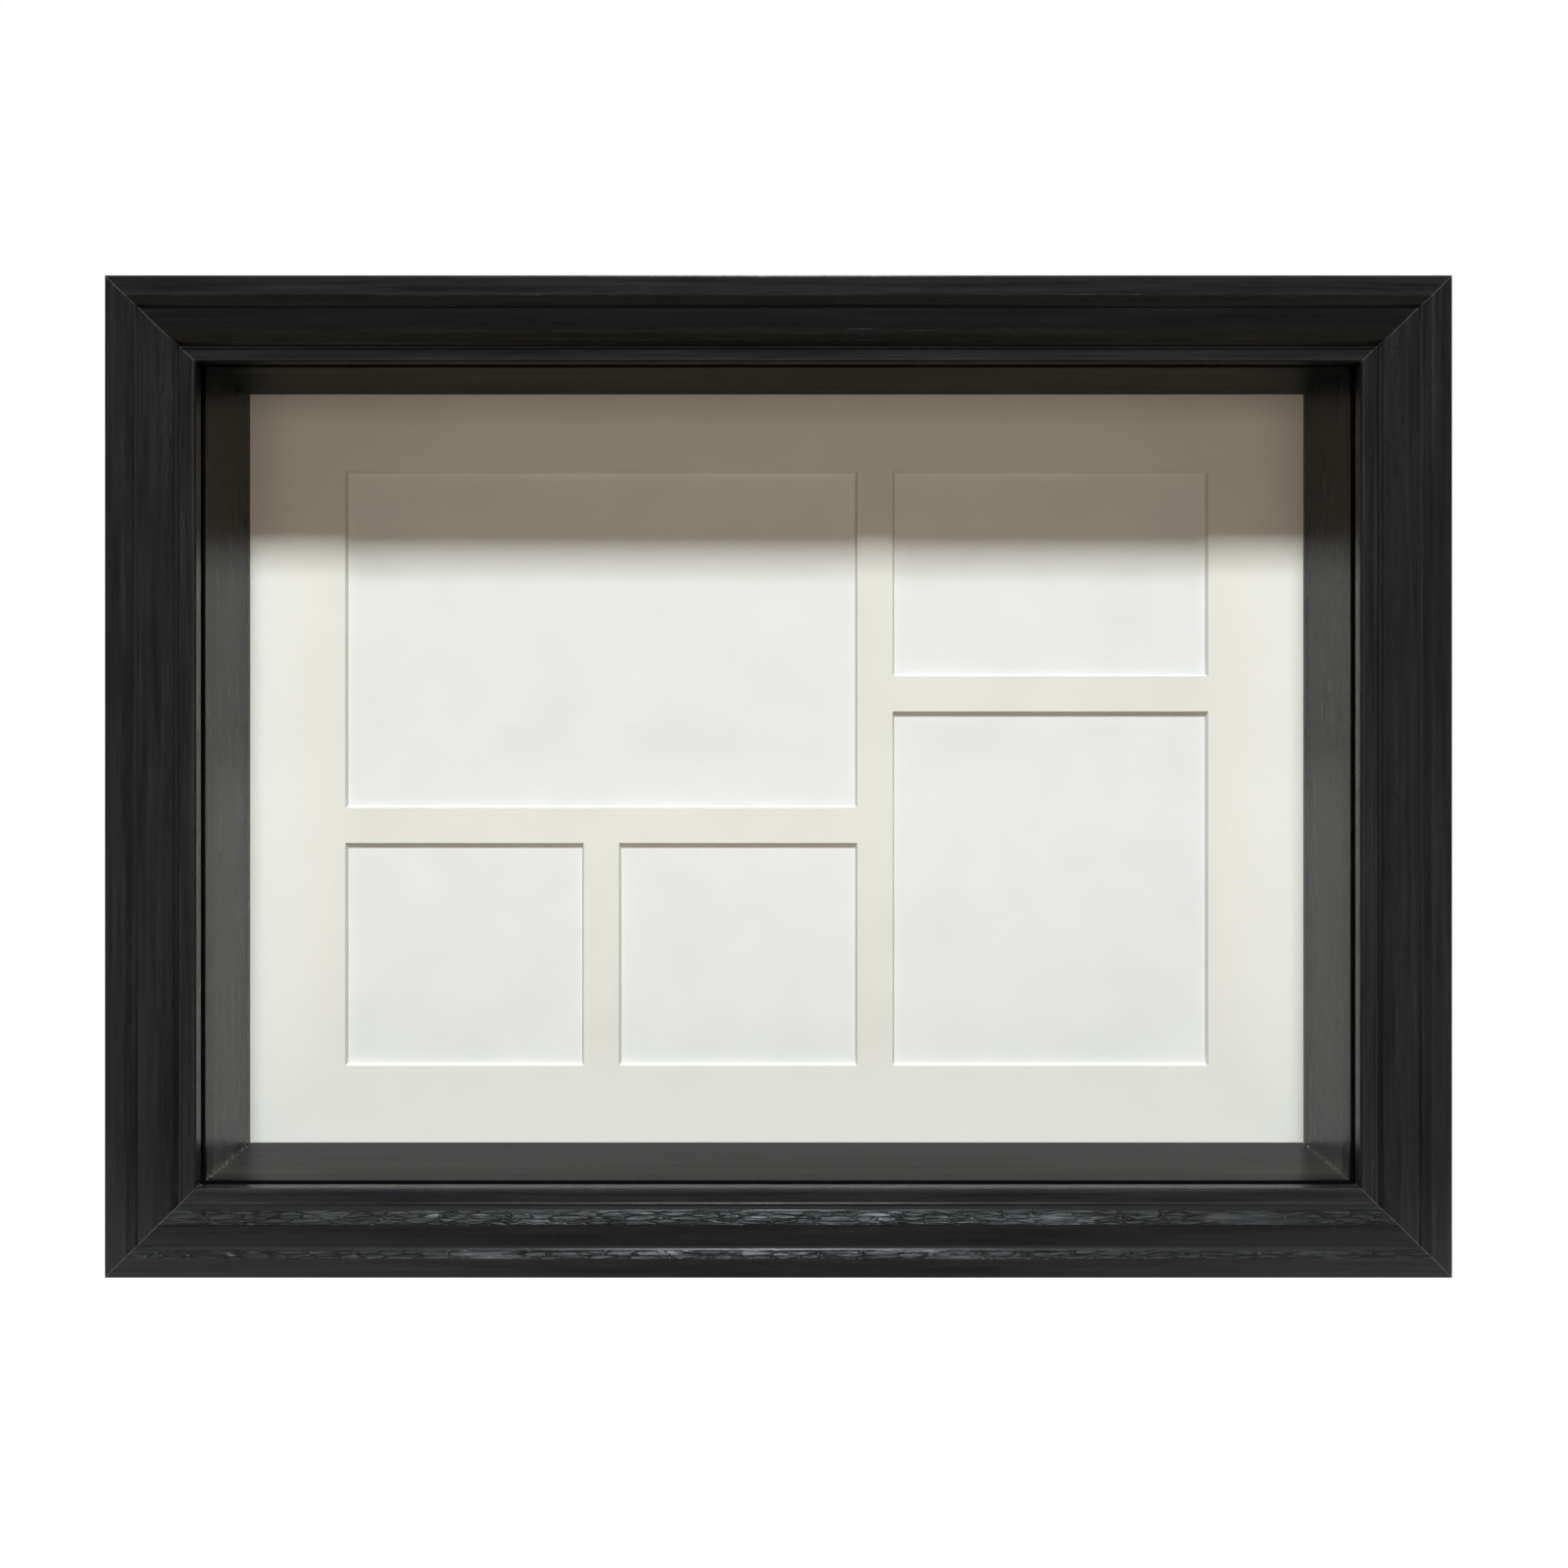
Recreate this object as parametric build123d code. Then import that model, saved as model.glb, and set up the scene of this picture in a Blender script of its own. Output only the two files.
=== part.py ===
from build123d import *
import os

# Deep collage photo frame: four mitred rails round a glass pane, deep spacer walls, a mat
# with five bevelled windows, and a back that turn buttons hold in. It stands on its bottom
# edge or hangs by two rings. Millimetres, X to the right, Y to the back, Z up.

# Mat windows, measured at the front edge of the bevel
LARGE_W = 146.0        # large window, for a 150 x 100 print
LARGE_H = 96.0
COLUMN_W = 90.0        # both windows of the right-hand column
UPPER_H = 58.5         # upper window of that column
SMALL_H = 63.5         # two small windows below the large one
BAR = 10.0             # strip of mat between two windows
BORDER_SIDE = 27.0     # mat in sight left and right of the windows
BORDER_END = 21.75     # mat in sight above and below them
MAT_THICK = 1.2
MAT_BEVEL = 45.0       # angle of the cut, in degrees

# Rail moulding, widths from the outer edge inwards
BAND_W = 4.9           # flat outer band
SLOPE_W = 2.0          # slope down to the step
CUSHION_W = 5.3        # low cushion, nearly flat
OVOLO_W = 2.5          # quarter-round that turns down
COVE_W = 1.2           # hollow below it
QUIRK_W = 0.6          # narrow groove
BEAD_W = 3.5           # flat bead along the opening

# Rail moulding, drops from the front plane backwards
SLOPE_DROP = 1.1
STEP_DROP = 0.9
CUSHION_DROP = 0.2
CUSHION_CROWN = 0.15
OVOLO_DROP = 1.7
COVE_DROP = 1.5
QUIRK_DROP = 0.9
BEAD_RISE = 0.5        # bead above the groove's floor
LIP_THICK = 4.0        # bead's front to the glass
REBATE_W = 6.0         # seat behind the lip
OUTER_ROUND = 0.8      # rounding of the outer front edge
BAND_ROUND = 0.6
BEAD_ROUND = 0.6
ARRIS_ROUND = 0.15     # small sharp edges
REAR_ROUND = 0.5

# Stack behind the lip
GLASS_THICK = 3.0
GLASS_SEAM = 0.3       # ground edge of the pane
SPACER_DEPTH = 30.0
SHEET_THICK = 0.3
BOARD_THICK = 3.0
STACK_PLAY = 0.3       # rail's rear face behind the board
SPACER_FIT = 0.3       # gap to the rebate, each side
PANE_FIT = 0.5

# V-shaped corner nails
NAIL_LEG = 5.0
NAIL_THICK = 0.6
NAIL_DEPTH = 8.0
NAIL_PROUD = 0.1       # stands out of the rails' rear face
NAIL_INSETS = (4.0, 9.0)
NAIL_FIT = 0.05

# Screws
SCREW_HEAD_D = 5.6
SCREW_HEAD_H = 1.8
SCREW_HEAD_ROUND = 1.1
SCREW_D = 2.8
SCREW_L = 13.0
SCREW_TIP = 3.0
CROSS_L = 3.0          # cross recess in the head
CROSS_W = 0.7
CROSS_DEPTH = 0.9
SCREW_FIT = 0.05

# Turn buttons
BUTTON_REACH = 14.0    # pivot to the centre of the nose
BUTTON_W = 8.0
BUTTON_THICK = 1.0
BUTTON_EDGE = 0.2
BUTTON_GAP = 0.1       # under and over the plate
BUTTON_RIB_W = 2.4
BUTTON_RIB_H = 0.5
BUTTON_RIB_GAP = 1.0   # screw head to the rib
BUTTON_OFFSET = 85.0   # upper and lower buttons from the middle

# Hangers
STRAP_W = 8.0
STRAP_L = 34.0
STRAP_THICK = 0.8
STRAP_ROUND = 3.2
STRAP_SCREWS = (19.0, 28.0)
WIRE_D = 1.8
WIRE_FIT = 0.1
RING_L = 12.0          # bar to the ring's far side
RING_END_GAP = 0.5     # strap's edge to the ring's bend
RING_BEND = 1.4
RING_NOSE = 5.0
HANGER_DROP = 55.0     # frame's top edge to the ring's bar

# Wall bumpers
BUMPER_D = 10.0
BUMPER_H = 4.0
BUMPER_ROUND = 1.2
BUMPER_INSET = 30.0    # frame's end to the bumper's centre

# Sizes that follow from the ones above
rail_face = BAND_W + SLOPE_W + CUSHION_W + OVOLO_W + COVE_W + QUIRK_W + BEAD_W
sight_w = 2 * BORDER_SIDE + LARGE_W + BAR + COLUMN_W
sight_h = 2 * BORDER_END + LARGE_H + BAR + SMALL_H
outer_w = sight_w + 2 * rail_face
outer_h = sight_h + 2 * rail_face
rim_w = rail_face - REBATE_W

step_drop = SLOPE_DROP + STEP_DROP
ovolo_start = step_drop + CUSHION_DROP
cove_start = ovolo_start + OVOLO_DROP
cove_end = cove_start + COVE_DROP
quirk_floor = cove_end + QUIRK_DROP
bead_drop = quirk_floor - BEAD_RISE
glass_front = bead_drop + LIP_THICK
spacer_front = glass_front + GLASS_THICK
mat_front = spacer_front + SPACER_DEPTH
sheet_front = mat_front + MAT_THICK
board_front = sheet_front + SHEET_THICK
rail_depth = board_front + BOARD_THICK + STACK_PLAY

front_y = -(rail_depth + BUMPER_H) / 2
rear_y = front_y + rail_depth
mid_z = outer_h / 2

wire_r = WIRE_D / 2
shank_r = SCREW_D / 2
knuckle_in = wire_r + WIRE_FIT
knuckle_out = knuckle_in + STRAP_THICK

# Each side's place: its own X runs along it, Y to the back and Z inwards
SIDES = {
    "bottom": (outer_w, Location((0, front_y, 0))),
    "left": (outer_h, Location((-outer_w / 2, front_y, mid_z), (0, 90, 0))),
    "top": (outer_w, Location((0, front_y, outer_h), (0, 180, 0))),
    "right": (outer_h, Location((outer_w / 2, front_y, mid_z), (0, -90, 0))),
}


def rail_section():
    """Moulding's cross-section: X inwards from the outer face, Y back from the front plane."""
    slope_x = BAND_W + SLOPE_W
    ovolo_x = slope_x + CUSHION_W
    cove_x = ovolo_x + OVOLO_W
    quirk_x = cove_x + COVE_W
    bead_x = quirk_x + QUIRK_W
    top = FilletPolyline(
        (0, rail_depth), (0, 0), (BAND_W, 0), (slope_x, SLOPE_DROP), (slope_x, step_drop),
        radius=(OUTER_ROUND, BAND_ROUND, ARRIS_ROUND))
    crown = (slope_x + CUSHION_W / 2, step_drop + CUSHION_DROP / 2 - CUSHION_CROWN)
    cushion = ThreePointArc((slope_x, step_drop), crown, (ovolo_x, ovolo_start))
    ovolo = TangentArc((ovolo_x, ovolo_start), (cove_x, cove_start), tangent=cushion % 1)
    cove = TangentArc((cove_x, cove_start), (quirk_x, cove_end), tangent=ovolo % 1)
    rest = FilletPolyline(
        (quirk_x, cove_end), (quirk_x, quirk_floor), (bead_x, quirk_floor),
        (bead_x, bead_drop), (rail_face, bead_drop), (rail_face, glass_front),
        (rim_w, glass_front), (rim_w, rail_depth),
        radius=(0, 0, ARRIS_ROUND, BEAD_ROUND, 0, 0))
    back = Line((rim_w, rail_depth), (0, rail_depth))
    edges = top.edges() + [cushion, ovolo, cove] + rest.edges() + [back]
    return make_face(edges)


def mitred_bar(length, near, far, start, end):
    """Bar with 45 degree ends, from near to far inwards and from start to end backwards."""
    outline = make_face(Polyline(
        (-length / 2 + near, near), (length / 2 - near, near),
        (length / 2 - far, far), (-length / 2 + far, far), close=True))
    plane = Plane((0, start, 0), x_dir=(1, 0, 0), z_dir=(0, -1, 0))
    return extrude(plane * outline, amount=start - end)


def rail(length):
    """One rail: the moulding swept along X and cut to its mitres."""
    plane = Plane((length / 2, 0, 0), x_dir=(0, 0, 1), z_dir=(-1, 0, 0))
    bar = extrude(plane * rail_section(), amount=length)
    rear = bar.edges().filter_by(Axis.X).sort_by(
        lambda e: (e.center() - Vector(0, rail_depth, 0)).length)[0]
    return fillet(rear, REAR_ROUND) & mitred_bar(length, 0, rail_face, 0, rail_depth)


def corner_nail(side_x, side_z, inset, fit):
    """V-nail in one corner, its apex on the mitre and its legs along the two rails."""
    x = side_x * (outer_w / 2 - inset)
    z = mid_z + side_z * (outer_h / 2 - inset)
    leg = NAIL_LEG + 2 * fit
    thick = NAIL_THICK + 2 * fit
    depth = NAIL_DEPTH + fit
    shift = leg / 2 - thick / 2
    y = rear_y + NAIL_PROUD - depth / 2
    along = Pos(x - side_x * shift, y, z) * Box(leg, depth, thick)
    up = Pos(x, y, z - side_z * shift) * Box(thick, depth, leg)
    return along + up


def on_back(x, z, turn=0):
    """Place on the rails' rear face: own Z points out of it, own Y points down."""
    plane = Plane((x, rear_y, z), x_dir=(1, 0, 0), z_dir=(0, 1, 0))
    return plane.location * Location((0, 0, 0), (0, 0, turn))


def screw():
    """Pan-head wood screw with a cross recess, head on Z = 0 and shank downwards."""
    head = Pos(0, 0, SCREW_HEAD_H / 2) * Cylinder(SCREW_HEAD_D / 2, SCREW_HEAD_H)
    head = fillet(head.edges().group_by(Axis.Z)[-1], SCREW_HEAD_ROUND)
    for turn in (0, 90):
        slot = Pos(0, 0, SCREW_HEAD_H - CROSS_DEPTH / 2) * Box(CROSS_L, CROSS_W, CROSS_DEPTH)
        head -= Rot(0, 0, turn) * slot
    straight = SCREW_L - SCREW_TIP
    shank = Pos(0, 0, -straight / 2) * Cylinder(shank_r, straight)
    tip = Pos(0, 0, -straight - SCREW_TIP / 2) * Cone(0, shank_r, SCREW_TIP)
    return head + shank + tip


def pilot_hole():
    """Hole in the rail for a screw, from its rear face forwards."""
    depth = SCREW_L + SCREW_FIT
    return Pos(0, 0, -depth / 2) * Cylinder(shank_r + SCREW_FIT, depth)


def turn_button():
    """Flat button with a pressed rib, pivot on the origin and nose along X."""
    outline = Pos(BUTTON_REACH / 2, 0) * SlotCenterToCenter(BUTTON_REACH, BUTTON_W)
    plate = extrude(outline, amount=BUTTON_THICK)
    plate = chamfer(plate.edges().group_by(Axis.Z)[-1], BUTTON_EDGE)
    rib_start = SCREW_HEAD_D / 2 + BUTTON_RIB_GAP
    rib_l = BUTTON_REACH - rib_start
    rib = Pos(rib_start + rib_l / 2, 0, BUTTON_THICK) * SlotOverall(rib_l, BUTTON_RIB_W)
    plate += extrude(rib, amount=BUTTON_RIB_H)
    hole = Pos(0, 0, BUTTON_THICK / 2) * Cylinder(shank_r + SCREW_FIT, 2 * BUTTON_THICK)
    return Pos(0, 0, BUTTON_GAP) * (plate - hole)


def hanger_strap():
    """Steel strap folded round the ring's bar: bar along X, strap along Y, rail at Z = 0."""
    plate = Pos(0, STRAP_L / 2, STRAP_THICK / 2) * Box(STRAP_W, STRAP_L, STRAP_THICK)
    plate = fillet(plate.edges().filter_by(Axis.Z).group_by(Axis.Y)[-1], STRAP_ROUND)
    knuckle = Location((0, 0, knuckle_out), (0, 90, 0)) * Cylinder(knuckle_out, STRAP_W)
    bore = Location((0, 0, knuckle_out), (0, 90, 0)) * Cylinder(knuckle_in, 2 * STRAP_W)
    strap = plate + knuckle - bore
    for y in STRAP_SCREWS:
        strap -= Pos(0, y, STRAP_THICK / 2) * Cylinder(shank_r + SCREW_FIT, 2 * STRAP_THICK)
    return strap


def hanger_ring():
    """Wire ring that swings in the strap, hanging along Y."""
    half = STRAP_W / 2 + RING_END_GAP + RING_BEND
    path = FilletPolyline(
        (-half, 0), (half, 0), (half, RING_L), (-half, RING_L),
        radius=(RING_BEND, RING_BEND, RING_NOSE, RING_NOSE), close=True)
    wire = sweep(Plane(path @ 0, z_dir=path % 0) * Circle(wire_r), path=path)
    return Pos(0, 0, knuckle_out) * wire


def bumper():
    """Round rubber pad."""
    pad = Pos(0, 0, BUMPER_H / 2) * Cylinder(BUMPER_D / 2, BUMPER_H)
    return fillet(pad.edges().group_by(Axis.Z)[-1], BUMPER_ROUND)


def sheet(start, thick, fit):
    """Flat sheet that fills the rebate, less its clearance."""
    width = sight_w + 2 * (REBATE_W - fit)
    height = sight_h + 2 * (REBATE_W - fit)
    return Pos(0, front_y + start + thick / 2, mid_z) * Box(width, thick, height)


def mat_window(x, z, width, height):
    """Tapered cut for one window, from its lower left corner in the opening."""
    left = x - sight_w / 2
    low = mid_z + z - sight_h / 2
    plane = Plane((left + width / 2, front_y + mat_front, low + height / 2),
                  x_dir=(1, 0, 0), z_dir=(0, 1, 0))
    return extrude(plane * Rectangle(width, height), amount=MAT_THICK, taper=MAT_BEVEL)


# Windows, each as left, bottom, width and height
column_x = BORDER_SIDE + LARGE_W + BAR
large_z = BORDER_END + SMALL_H + BAR
upper_z = sight_h - BORDER_END - UPPER_H
small_w = (LARGE_W - BAR) / 2
WINDOWS = (
    (BORDER_SIDE, large_z, LARGE_W, LARGE_H),
    (BORDER_SIDE, BORDER_END, small_w, SMALL_H),
    (BORDER_SIDE + small_w + BAR, BORDER_END, small_w, SMALL_H),
    (column_x, upper_z, COLUMN_W, UPPER_H),
    (column_x, BORDER_END, COLUMN_W, upper_z - BAR - BORDER_END),
)

# Hardware places on the back: turn buttons with the way their noses point, then the rest
rim_x = outer_w / 2 - rim_w / 2
rim_low = rim_w / 2
rim_high = outer_h - rim_w / 2
BUTTONS = {
    "turn_button_top_left": (-BUTTON_OFFSET, rim_high, 90),
    "turn_button_top_right": (BUTTON_OFFSET, rim_high, 90),
    "turn_button_bottom_left": (-BUTTON_OFFSET, rim_low, -90),
    "turn_button_bottom_right": (BUTTON_OFFSET, rim_low, -90),
    "turn_button_left": (-rim_x, mid_z, 0),
    "turn_button_right": (rim_x, mid_z, 180),
}
hanger_z = outer_h - HANGER_DROP
STRAP_SCREW_PLACES = [(x, hanger_z - y) for x in (-rim_x, rim_x) for y in STRAP_SCREWS]
BUMPER_PLACES = [(x, z) for x in (-rim_x, rim_x) for z in (BUMPER_INSET, outer_h - BUMPER_INSET)]
CORNERS = [(x, z, inset) for x in (-1, 1) for z in (-1, 1) for inset in NAIL_INSETS]

os.makedirs("parts", exist_ok=True)

# Rails, with pilot holes for the screws and slots for the corner nails
screw_places = [(x, z) for x, z, turn in BUTTONS.values()] + STRAP_SCREW_PLACES
cuts = [on_back(x, z) * pilot_hole() for x, z in screw_places]
cuts += [corner_nail(x, z, inset, NAIL_FIT) for x, z, inset in CORNERS]
for side, (length, place) in SIDES.items():
    export_step(place * rail(length) - cuts, f"parts/{side}_rail.step")
    spacer = mitred_bar(length, rim_w + SPACER_FIT, rail_face, spacer_front, mat_front)
    export_step(place * spacer, f"parts/{side}_spacer.step")

nails = [corner_nail(x, z, inset, 0) for x, z, inset in CORNERS]
export_step(Compound(nails), "parts/corner_nails.step")

# Glass, mat, sheet and board
glass = sheet(glass_front, GLASS_THICK, PANE_FIT)
export_step(chamfer(glass.edges(), GLASS_SEAM), "parts/front_glass.step")
mat = sheet(mat_front, MAT_THICK, PANE_FIT)
export_step(mat - [mat_window(*window) for window in WINDOWS], "parts/mat_board.step")
export_step(sheet(sheet_front, SHEET_THICK, PANE_FIT), "parts/insert_sheet.step")
export_step(sheet(board_front, BOARD_THICK, PANE_FIT), "parts/backing_board.step")

# Turn buttons and their screws
for name, (x, z, turn) in BUTTONS.items():
    export_step(on_back(x, z, turn) * turn_button(), f"parts/{name}.step")
seat = 2 * BUTTON_GAP + BUTTON_THICK
button_screws = [on_back(x, z) * Pos(0, 0, seat) * screw() for x, z, turn in BUTTONS.values()]
export_step(Compound(button_screws), "parts/turn_button_screws.step")

# Hangers
for name, x in (("left", -rim_x), ("right", rim_x)):
    export_step(on_back(x, hanger_z) * hanger_strap(), f"parts/hanger_strap_{name}.step")
    export_step(on_back(x, hanger_z) * hanger_ring(), f"parts/hanger_ring_{name}.step")
strap_screws = [on_back(x, z) * Pos(0, 0, STRAP_THICK) * screw() for x, z in STRAP_SCREW_PLACES]
export_step(Compound(strap_screws), "parts/hanger_screws.step")

bumpers = [on_back(x, z) * bumper() for x, z in BUMPER_PLACES]
export_step(Compound(bumpers), "parts/wall_bumpers.step")
print(f"frame {outer_w:.1f} x {rail_depth + BUMPER_H:.1f} x {outer_h:.1f} mm")
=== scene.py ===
# %% [markdown]
# # A deep collage photo frame
#
# The object is a black wooden box frame. Four mitred rails hold a pane of glass, deep black
# walls stand behind it, and an off-white mat with five bevel-cut windows closes the box. The
# solid model already gives every piece its size and place. This lesson gives each piece the
# surface that the eye expects: grain, eased edges, tooth of paper, plated steel.

# %% Load the solid model
import math
import bmesh
import bpy
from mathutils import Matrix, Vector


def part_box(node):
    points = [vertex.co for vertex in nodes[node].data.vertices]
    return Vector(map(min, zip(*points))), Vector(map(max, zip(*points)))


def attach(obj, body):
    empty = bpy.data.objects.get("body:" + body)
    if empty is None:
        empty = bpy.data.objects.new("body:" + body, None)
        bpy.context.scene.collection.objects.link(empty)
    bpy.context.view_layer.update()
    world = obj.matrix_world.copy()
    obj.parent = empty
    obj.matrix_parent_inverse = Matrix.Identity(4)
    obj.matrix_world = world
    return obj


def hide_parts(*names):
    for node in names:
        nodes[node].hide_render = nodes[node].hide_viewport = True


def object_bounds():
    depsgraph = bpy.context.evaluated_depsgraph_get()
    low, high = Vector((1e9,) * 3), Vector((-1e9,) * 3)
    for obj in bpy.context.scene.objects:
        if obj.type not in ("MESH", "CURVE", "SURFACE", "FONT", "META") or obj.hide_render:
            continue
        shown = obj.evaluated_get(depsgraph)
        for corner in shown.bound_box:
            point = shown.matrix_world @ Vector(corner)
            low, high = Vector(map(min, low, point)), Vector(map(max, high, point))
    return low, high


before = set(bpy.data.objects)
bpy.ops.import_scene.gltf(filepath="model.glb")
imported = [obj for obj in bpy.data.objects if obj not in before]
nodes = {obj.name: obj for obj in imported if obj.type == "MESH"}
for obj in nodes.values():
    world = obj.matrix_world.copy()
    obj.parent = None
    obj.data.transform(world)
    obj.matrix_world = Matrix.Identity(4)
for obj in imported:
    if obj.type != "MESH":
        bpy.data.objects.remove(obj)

MM = 0.001
scene = bpy.context.scene
cad_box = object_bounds()
print(len(nodes), "solid pieces in a box of",
      [round((high - low) / MM, 1) for low, high in zip(*cad_box)], "mm")

# %% [markdown]
# ## Four small helpers
#
# Colours are written as the hex values that a screen shows, and Blender's shaders want linear
# light, so one function turns one into the other. A second adds any node with its settings and
# links, for materials and Geometry Nodes alike. Many nodes hold spare sockets of the same name
# for other kinds of data, so it takes the first one that is in use. Two more start a material,
# and end it with a relief and a shader.

# %% Helpers
def linear(code):
    """Linear colour of a hex value such as 8a8a88."""
    parts = [int(code[i:i + 2], 16) / 255 for i in (0, 2, 4)]
    return [c / 12.92 if c <= 0.04045 else ((c + 0.055) / 1.055) ** 2.4 for c in parts] + [1.0]


def add(tree, kind, inputs=None, **settings):
    """Adds a node: settings first, then each input as a node or socket to link, or a plain value."""
    node = tree.nodes.new(kind)
    for name, value in settings.items():
        setattr(node, name, value)
    for key, value in (inputs or {}).items():
        socket = next(s for i, s in enumerate(node.inputs) if key == i or (key == s.name and s.enabled))
        if isinstance(value, bpy.types.Node):
            value = next(s for s in value.outputs if s.enabled)
        if isinstance(value, bpy.types.NodeSocket):
            tree.links.new(value, socket)
        else:
            socket.default_value = value
    return node


def new_material(name):
    """A material without any nodes yet, and its tree."""
    material = bpy.data.materials.new(name)
    material.use_nodes = True
    material.node_tree.nodes.clear()
    print("material:", name)
    return material, material.node_tree


def surface(tree, inputs, relief, strength, depth):
    """Ends a material with its relief, depth in millimetres, the shader with its inputs, and the output."""
    bump = add(tree, "ShaderNodeBump", {"Height": relief, "Strength": strength, "Distance": depth * MM})
    shader = add(tree, "ShaderNodeBsdfPrincipled", {"Normal": bump, **inputs})
    add(tree, "ShaderNodeOutputMaterial", {"Surface": shader})


print("black paint at hex 26 is", round(linear("262626")[0], 4), "in linear light")

# %% [markdown]
# ## Camera and light
#
# The picture is taken square on, a little above the middle and from close by, so the inner
# walls spread towards the camera. A short lens and a small shift give that view. One soft box
# stands above and in front: the top rail throws its shadow across the mat. The rest is an even
# warm fill. A lamp behind the frame lights its back for the other views. A dark cloth hangs
# behind the camera, as in a real studio, so that the glass doesn't mirror the white room.

# %% Camera
picture_px = 1600
shift_px = (21, -80)
eye_x, eye_back, eye_up = -3.8, 320, 17.9    # millimetres from the middle of the frame's front
front_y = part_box("bottom_rail")[0][1]
middle_z = (cad_box[0][2] + cad_box[1][2]) / 2
camera_data = bpy.data.cameras.new("camera")
camera_data.sensor_width = 36.0
camera_data.lens = 29.14
camera_data.shift_x, camera_data.shift_y = [shift / picture_px for shift in shift_px]
camera = bpy.data.objects.new("camera", camera_data)
camera.location = (eye_x * MM, front_y - eye_back * MM, middle_z + eye_up * MM)
camera.rotation_euler = (math.radians(90), 0, 0)
scene.collection.objects.link(camera)
bpy.context.scene.camera = camera
scene.view_settings.view_transform = "Standard"
print("camera", [round(v / MM) for v in camera.location], "mm")

# %% Soft box and fill
def soft_lamp(name, watts, colour, width, height, distance, elevation):
    """A soft lamp, sizes in metres, that looks at the frame's middle from in front, tilted up in degrees."""
    data = bpy.data.lights.new(name, "AREA")
    data.shape = "RECTANGLE"
    data.size, data.size_y = width, height
    data.energy = watts
    data.color = linear(colour)[:3]
    lamp = bpy.data.objects.new(name, data)
    tilt = math.radians(elevation)
    lamp.location = (0, front_y - distance * math.cos(tilt), middle_z + distance * math.sin(tilt))
    lamp.rotation_euler = (math.radians(90) - tilt, 0, 0)
    scene.collection.objects.link(lamp)
    print(name, "at", [round(v, 2) for v in lamp.location], "m")
    return lamp


soft_lamp("soft_box", 145.0, "f4faff", width=0.72, height=0.44, distance=3.2, elevation=52.2)
# past 90 degrees a lamp stands behind the frame, and flat plated steel would mirror it as a white blank
back_lamp = soft_lamp("back_light", 33.0, "ffffff", width=1.2, height=0.9, distance=2.2, elevation=163.0)
back_lamp.visible_glossy = False
# crossed polarisers keep the fill out of the glass
fill_lamp = soft_lamp("warm_fill", 9.9, "ffefdf", width=1.8, height=1.2, distance=2.0, elevation=0.0)
fill_lamp.visible_glossy = False
fill_lamp.visible_transmission = False

# %% White room
def mirrored_rays(tree):
    """Light Path's outputs, and 1 for the rays that mirrors and glass send on to the camera."""
    ray = add(tree, "ShaderNodeLightPath").outputs
    mirrored = add(tree, "ShaderNodeMath", {
        0: ray["Is Glossy Ray"], 1: ray["Is Transmission Ray"]}, operation="MAXIMUM")
    # light that a matt surface gathers through the glass stays the plain fill
    first = add(tree, "ShaderNodeMath", {0: ray["Diffuse Depth"], 1: 0.5}, operation="LESS_THAN")
    return ray, add(tree, "ShaderNodeMath", {0: mirrored, 1: first}, operation="MULTIPLY")


def cloth_share(tree, way, mirrored):
    """How far a mirrored ray, given its direction, runs into the cloth in front: 0 to 1."""
    way = add(tree, "ShaderNodeSeparateXYZ", {0: way})
    cloth = add(tree, "ShaderNodeMapRange", {"Value": way.outputs["Y"], "From Min": -0.15, "From Max": -0.5})
    return add(tree, "ShaderNodeMath", {0: cloth, 1: mirrored}, operation="MULTIPLY")


world = bpy.data.worlds.new("white_room")
scene.world = world
world.use_nodes = True
sky = world.node_tree
sky.nodes.clear()
ray, mirrored = mirrored_rays(sky)
shown = add(sky, "ShaderNodeMath", {0: mirrored, 1: ray["Is Camera Ray"]}, operation="MAXIMUM")
# a dark cloth hangs across the room's front end, and only mirrors show it
cloth = cloth_share(sky, add(sky, "ShaderNodeTexCoord").outputs["Generated"], mirrored)
ends = add(sky, "ShaderNodeMix", {
    "Factor": cloth, "A": (1, 1, 1, 1), "B": linear("2c2c2c")}, data_type="RGBA")
fill = add(sky, "ShaderNodeBackground", {"Color": linear("ffebd6"), "Strength": 0.04})
white = add(sky, "ShaderNodeBackground", {"Color": ends})
room = add(sky, "ShaderNodeMixShader", {0: shown, 1: fill, 2: white})
add(sky, "ShaderNodeOutputWorld", {"Surface": room})
print("world:", world.name)

# %% Floor
reach = 9    # metres to each side
corners = [(-reach, -reach, 0), (reach, -reach, 0), (reach, reach, 0), (-reach, reach, 0)]
floor_mesh = bpy.data.meshes.new("floor")
floor_mesh.from_pydata(corners, [], [(0, 1, 2, 3)])
floor_paint, tree = new_material("floor")
where = add(tree, "ShaderNodeTexCoord").outputs["Object"]
ray, mirrored = mirrored_rays(tree)
# a grey cloth runs on along the floor up to the frame, again for mirrors only
cloth = cloth_share(tree, add(tree, "ShaderNodeVectorMath", {0: where}, operation="NORMALIZE"), mirrored)
shown = add(tree, "ShaderNodeMath", {0: mirrored, 1: cloth}, operation="SUBTRACT")
shown = add(tree, "ShaderNodeMath", {0: shown, 1: ray["Is Camera Ray"]}, operation="MAXIMUM")
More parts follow.
